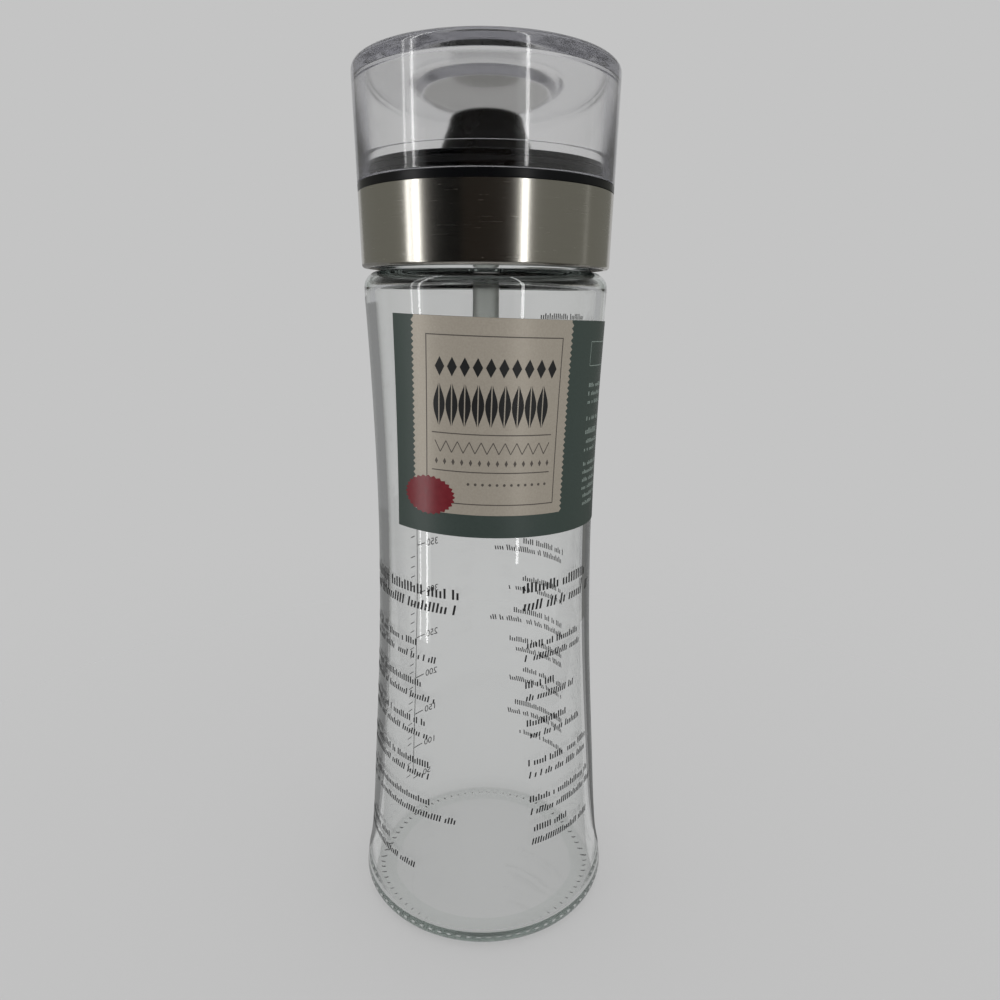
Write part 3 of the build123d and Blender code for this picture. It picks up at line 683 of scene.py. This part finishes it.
# Right front, left front and back, each a heading of two tall rows or none over pairs of rows, and one row above
glass_print = print_rows([
    (110.0, 65, 2.9), (104.8, 70, 2.9), (93.5, 57, 2.0), (89.6, 59, 2.0), (81.4, 40, 2.0), (77.5, 52, 2.0),
    (69.6, 46.5, 2.0), (65.8, 59, 2.0), (57.1, 64, 2.0), (53.2, 62, 2.0), (45.4, 66, 2.0), (41.3, 68, 2.0),
    (35.6, 45.5, 2.0), (31.4, 62, 2.0)], 18.5)
glass_print += print_rows([
    (108.4, -9, 2.9), (103.9, -12, 2.9), (92.6, -35, 2.0), (88.5, -24, 2.0), (80.3, -31, 2.0), (76.2, -20, 2.0),
    (68.5, -29, 2.0), (64.6, -28, 2.0), (55.6, -26, 2.0), (51.9, -27, 2.0), (43.8, -26, 2.0), (39.5, -13, 2.0),
    (25.5, -50, 2.0), (21.2, -34, 2.0)], -84)
glass_print += print_rows([
    (118.0, 172, 2.0), (114.2, 178, 2.0), (105.8, 156, 2.0), (102.6, 175, 2.0), (91.8, 156, 2.0),
    (87.9, 166, 2.0), (79.0, 162, 2.0), (75.4, 179, 2.0), (67.4, 165, 2.0), (63.6, 160, 2.0), (55.5, 156, 2.0),
    (51.1, 164, 2.0), (41.0, 161, 2.0), (37.0, 166, 2.0), (28.6, 158, 2.0)], 119)
glass_print += print_rows([(182.4, 147, 1.7)], 112)

# Filling scale, each mark at the level of its own volume: a line, a short tick every 10 ml, a long one with its
# number every 50 ml
SCALE_X, SCALE_BOTTOM, SCALE_TOP, SCALE_LETTERS = radians(-130) * PRINT_RADIUS, 18.0, 178.0, 3.6
levels = np.linspace(BASE_THICKNESS, SHOULDER_HEIGHT - 8, 600)
inside = [pi * (inner_upper(z) if z > WAIST_HEIGHT else inner_lower(max(z, inner_foot))) ** 2 / 1000
          for z in levels]
filled = np.concatenate([[0], np.cumsum((np.array(inside[1:]) + inside[:-1]) / 2 * np.diff(levels))])
for millilitres in range(50, 560, 10):
    z = float(np.interp(millilitres, filled, levels))
    if millilitres % 50:
        glass_print += [box(SCALE_X + 1.4, z - 0.15, SCALE_X + 3.6, z + 0.15)]
        continue
    glass_print += [box(SCALE_X - 4.2, z - 0.18, SCALE_X - 0.3, z + 0.18)]
    letters = bpy.data.curves.new("number", "FONT")
    letters.body, letters.size, letters.align_x, letters.fill_mode = str(millilitres), SCALE_LETTERS, "RIGHT", "FRONT"
    carrier = bpy.data.objects.new("number", letters)
    bpy.context.scene.collection.objects.link(carrier)
    shape = bpy.data.meshes.new_from_object(carrier.evaluated_get(bpy.context.evaluated_depsgraph_get()))
    bpy.data.objects.remove(carrier)
    corners = [(vertex.co.x + SCALE_X - 5.0, vertex.co.y + z - 1.3) for vertex in shape.vertices]
    glass_print += [[corners[i] for i in face.vertices] for face in shape.polygons]
glass_print += [box(SCALE_X - 0.15, y, SCALE_X + 0.15, y + 4.0) for y in np.arange(SCALE_BOTTOM, SCALE_TOP, 4.0)]
# The ink is fired on, so it lies a little in the glass
film("glass_print", glass_print, -0.02, 0.05, black_ink)


# ---------------------------------------------------------------- camera

CAMERA_PLACE = Vector((0, -227.1, 187.5)) * MM
LENS, SENSOR = 27.43, 36.0
pitch, roll, yaw = radians(14.55), radians(-0.48), radians(1.15)
level = Vector((sin(yaw), cos(yaw), 0))
right = Vector((cos(yaw), -sin(yaw), 0))
forward = level * cos(pitch) - Vector((0, 0, sin(pitch)))
upward = level * sin(pitch) + Vector((0, 0, cos(pitch)))
across, over = right * cos(roll) - upward * sin(roll), right * sin(roll) + upward * cos(roll)
camera_data = bpy.data.cameras.new("camera")
camera_data.lens, camera_data.sensor_width, camera_data.clip_start = LENS, SENSOR, 0.01
camera = bpy.data.objects.new("camera", camera_data)
turned = Matrix((across, over, -forward)).transposed().to_4x4()
camera.matrix_world = Matrix.Translation(CAMERA_PLACE) @ turned
bpy.context.scene.collection.objects.link(camera)
bpy.context.scene.camera = camera
bpy.context.scene.view_settings.view_transform = "Standard"
# Light goes to and fro many times in the thick rims of lid and glass before it comes out
BOUNCES = 24
cycles = bpy.context.scene.cycles
cycles.max_bounces = cycles.glossy_bounces = cycles.transmission_bounces = BOUNCES


# ---------------------------------------------------------------- backdrop and floor

def looked_at(tree):
    """1 where a surface is looked at, straight, in a mirror or through glass, and 0 where it lights another."""
    path = add(tree, "ShaderNodeLightPath").outputs
    seen = add(tree, "ShaderNodeMath", {0: path["Is Camera Ray"], 1: path["Is Glossy Ray"]}, operation="MAXIMUM")
    return add(tree, "ShaderNodeMath", {0: seen.outputs[0], 1: path["Is Transmission Ray"]}, operation="MAXIMUM")


BACKDROP_GREY, DAYLIGHT = 0.552, 0.95
world = bpy.data.worlds.new("soft_studio")
bpy.context.scene.world = world
world.use_nodes = True
world.node_tree.nodes.clear()
seen = looked_at(world.node_tree)
light = add(world.node_tree, "ShaderNodeMapRange", {
    "Value": seen.outputs[0], "To Min": DAYLIGHT, "To Max": BACKDROP_GREY})
sky = add(world.node_tree, "ShaderNodeBackground", {"Color": WHITE, "Strength": light.outputs["Result"]})
add(world.node_tree, "ShaderNodeOutputWorld", {"Surface": sky.outputs[0]})


def stage_card(name, points, faces, material, glossy_only=True):
    mesh = bpy.data.meshes.new(name)
    mesh.from_pydata(points, [], faces)
    mesh.materials.append(material)
    card = bpy.data.objects.new(name, mesh)
    bpy.context.scene.collection.objects.link(card)
    if glossy_only:
        card.visible_camera = card.visible_diffuse = False
        card.visible_shadow = card.visible_volume_scatter = False
    return card


def disc(name, radius, height, count, material, glossy_only=True):
    turns = [2 * pi * k / count for k in range(count)]
    points = [(radius * cos(t), radius * sin(t), height) for t in turns]
    return stage_card(name, points, [list(range(count))], material, glossy_only)


# Pale matt floor that fades into the backdrop away from the bottle. Part of what shows of it is an even glow,
# a little more of it through glass, where the bottle's own shadow would be too deep.
FLOOR_GREY, FLOOR_GLOW, FLOOR_GLOW_THROUGH_GLASS = 0.56, 0.65, 0.12
floor_paint, tree = new_material("matt_floor_paint")
place = add(tree, "ShaderNodeTexCoord").outputs["Object"]
away = add(tree, "ShaderNodeVectorMath", {0: place}, operation="LENGTH")
fade = add(tree, "ShaderNodeMapRange", {
    "Value": away.outputs["Value"], "From Min": 0.14, "From Max": 0.42}, interpolation_type="SMOOTHSTEP")
matt = add(tree, "ShaderNodeBsdfDiffuse", {"Color": (FLOOR_GREY, FLOOR_GREY, FLOOR_GREY, 1)})
even = add(tree, "ShaderNodeEmission", {
    "Color": (BACKDROP_GREY, BACKDROP_GREY, BACKDROP_GREY, 1), "Strength": 1.0})
through = add(tree, "ShaderNodeLightPath").outputs["Is Transmission Ray"]
part = add(tree, "ShaderNodeMath", {0: through, 1: FLOOR_GLOW_THROUGH_GLASS}, operation="MULTIPLY")
part = add(tree, "ShaderNodeMath", {
    0: looked_at(tree).outputs[0], 1: FLOOR_GLOW, 2: part.outputs[0]}, operation="MULTIPLY_ADD")
ground = add(tree, "ShaderNodeMixShader", {"Fac": part.outputs[0], 1: matt.outputs[0], 2: even.outputs[0]})
clear = add(tree, "ShaderNodeBsdfTransparent")
both = add(tree, "ShaderNodeMixShader", {
    "Fac": fade.outputs["Result"], 1: ground.outputs[0], 2: clear.outputs[0]})
add(tree, "ShaderNodeOutputMaterial", {"Surface": both.outputs[0]})
disc("floor", 0.45, -0.0001, 96, floor_paint, glossy_only=False).visible_glossy = False


# ---------------------------------------------------------------- room that metal and glass mirror

def glow(name, colour, once=False, past_clear=True):
    """Card that only reflections show: a glow for rays that have been mirrored, clear for all others.

    Once: only for rays mirrored once, so that light held within a thick rim finds the pale room instead.
    Not past clear: not for rays that were mirrored within a clear wall and then left it.
    """
    material, tree = new_material(name)
    shine = add(tree, "ShaderNodeEmission", {"Color": (*colour, 1.0), "Strength": 1.0})
    path = add(tree, "ShaderNodeLightPath").outputs
    if once:
        shown = add(tree, "ShaderNodeMath", {0: path["Glossy Depth"], 1: 1.0, 2: 0.5}, operation="COMPARE")
    else:
        shown = add(tree, "ShaderNodeMath", {0: path["Glossy Depth"], 1: 0.5}, operation="GREATER_THAN")
    if not past_clear:
        within = add(tree, "ShaderNodeMath", {0: path["Transmission Depth"], 1: 2.0, 2: 1.5}, operation="COMPARE")
        shown = add(tree, "ShaderNodeMath", {
            0: shown.outputs[0], 1: within.outputs[0]}, operation="SUBTRACT", use_clamp=True)
    clear = add(tree, "ShaderNodeBsdfTransparent")
    both = add(tree, "ShaderNodeMixShader", {"Fac": shown.outputs[0], 1: clear.outputs[0], 2: shine.outputs[0]})
    add(tree, "ShaderNodeOutputMaterial", {"Surface": both.outputs[0]})
    return material


def wall(name, start, end, radius, low, high, material):
    """An upright strip of a cylinder round the bottle, between two angles from the front."""
    count = max(2, int((end - start) / 6))
    turns = [radians(start + (end - start) * k / count) for k in range(count + 1)]
    points = [(radius * sin(t), -radius * cos(t), z) for z in (low, high) for t in turns]
    faces = [(k, k + 1, k + 2 + count, k + 1 + count) for k in range(count)]
    stage_card(name, points, faces, material)


# A dark wall behind the camera and below it, a mid grey room at the sides, a pale one behind, and a pale room a
# little further out for the rays that the nearer cards let through
NEAR, FAR, TOP, BELOW = 0.50, 0.52, 0.8, -0.1
BLACK, DARK = (0.002, 0.002, 0.002), (0.016, 0.012, 0.009)
black_wall, dark_wall = glow("black_card", BLACK, once=True), glow("dark_card", DARK, once=True)
wall("black_card", -50, -20, NEAR, 0.0, TOP, black_wall)
wall("dark_card_left", -56, -50, NEAR, 0.0, TOP, dark_wall)
wall("dark_card", -20, 26, NEAR, 0.0, TOP, dark_wall)
low_dark_wall = glow("low_dark_card", DARK, past_clear=False)
wall("low_dark_card", -56, 26, NEAR, BELOW, 0.0, low_dark_wall)
wall("floor_dark_card", -120, 120, NEAR, -0.6, BELOW, low_dark_wall)
grey_wall = glow("grey_card", (0.20, 0.20, 0.18), past_clear=False)
wall("grey_card_right", 26, 145, NEAR, BELOW, TOP, grey_wall)
wall("grey_card_left", 215, 304, NEAR, BELOW, TOP, grey_wall)
wall("pale_card", 145, 215, NEAR, BELOW, TOP, glow("pale_card", (0.5, 0.5, 0.5)))
room_wall = glow("room_card", (0.42, 0.42, 0.43))
wall("room_card_right", 26, 145, FAR, BELOW, TOP, room_wall)
wall("room_card_left", 215, 304, FAR, BELOW, TOP, room_wall)
# A shade low behind the bottle, which its left edge shows
wall("edge_card_left", 192, 238, 0.48, 0.0, 0.19, glow("edge_card", (0.23, 0.23, 0.23)))
# Pale floor close round the heel, which the heel's round edge mirrors
disc("floor_near", 0.048, -0.00005, 48, glow("floor_near", (0.42, 0.42, 0.42)))


def wedge(name, side, start, end, material):
    """A dark wedge on the floor behind one side of the bottle: the dark line inside the glass's edge."""
    corners = [(reach, radians(angle)) for reach, angle in ((0.004, start), (0.62, start), (0.62, end), (0.004, end))]
    points = [(side * (0.037 + reach * sin(turn)), -reach * cos(turn), 0.001) for reach, turn in corners]
    stage_card(name, points, [(0, 1, 2, 3)], material)


# Shades on the floor that both edges show
wedge("edge_wedge_left", -1, 124, 172, glow("edge_shade_left", (0.20, 0.20, 0.20)))
wedge("edge_wedge_right", 1, 136, 170, glow("edge_shade_right", (0.13, 0.13, 0.13)))


# ---------------------------------------------------------------- lamps

LAMP_REACH, LAMP_TOP = 0.45, 0.9


def tall_lamp(name, angle, width, low, radiance):
    lamp = bpy.data.lights.new(name, "AREA")
    lamp.shape, lamp.size, lamp.size_y = "RECTANGLE", width, LAMP_TOP - low
    lamp.energy = radiance * pi * width * (LAMP_TOP - low)
    thing = bpy.data.objects.new(name, lamp)
    thing.location = (LAMP_REACH * sin(radians(angle)), -LAMP_REACH * cos(radians(angle)), (LAMP_TOP + low) / 2)
    thing.rotation_euler = (pi / 2, 0, radians(angle))
    thing.visible_camera = thing.visible_diffuse = thing.visible_transmission = False
    bpy.context.scene.collection.objects.link(thing)


# A window between two bright strips on the left, and a strip on the right. They end where their streaks end on
# the glass.
LEFT_END, RIGHT_END = -0.075, -0.02
tall_lamp("window_left", -63.5, 0.11, LEFT_END, 0.9)
tall_lamp("lamp_left_outer", -68.5, 0.012, LEFT_END, 5.0)
tall_lamp("lamp_left_inner", -60.5, 0.018, LEFT_END, 7.5)
tall_lamp("lamp_right", 32.2, 0.022, RIGHT_END, 8.0)
tall_lamp("lamp_far_right", 96.0, 0.02, RIGHT_END, 0.25)


# ---------------------------------------------------------------- solids that are kept

kept_solids = {"steel_band": steel, "pour_top": abs_black, "screw_collar": abs_black, "vent_tube": tube,
               "rim_seal": rubber, "lid_seal": rubber}
for node, material in kept_solids.items():
    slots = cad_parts[node].data.materials
    for k in range(len(slots)):
        slots[k] = material
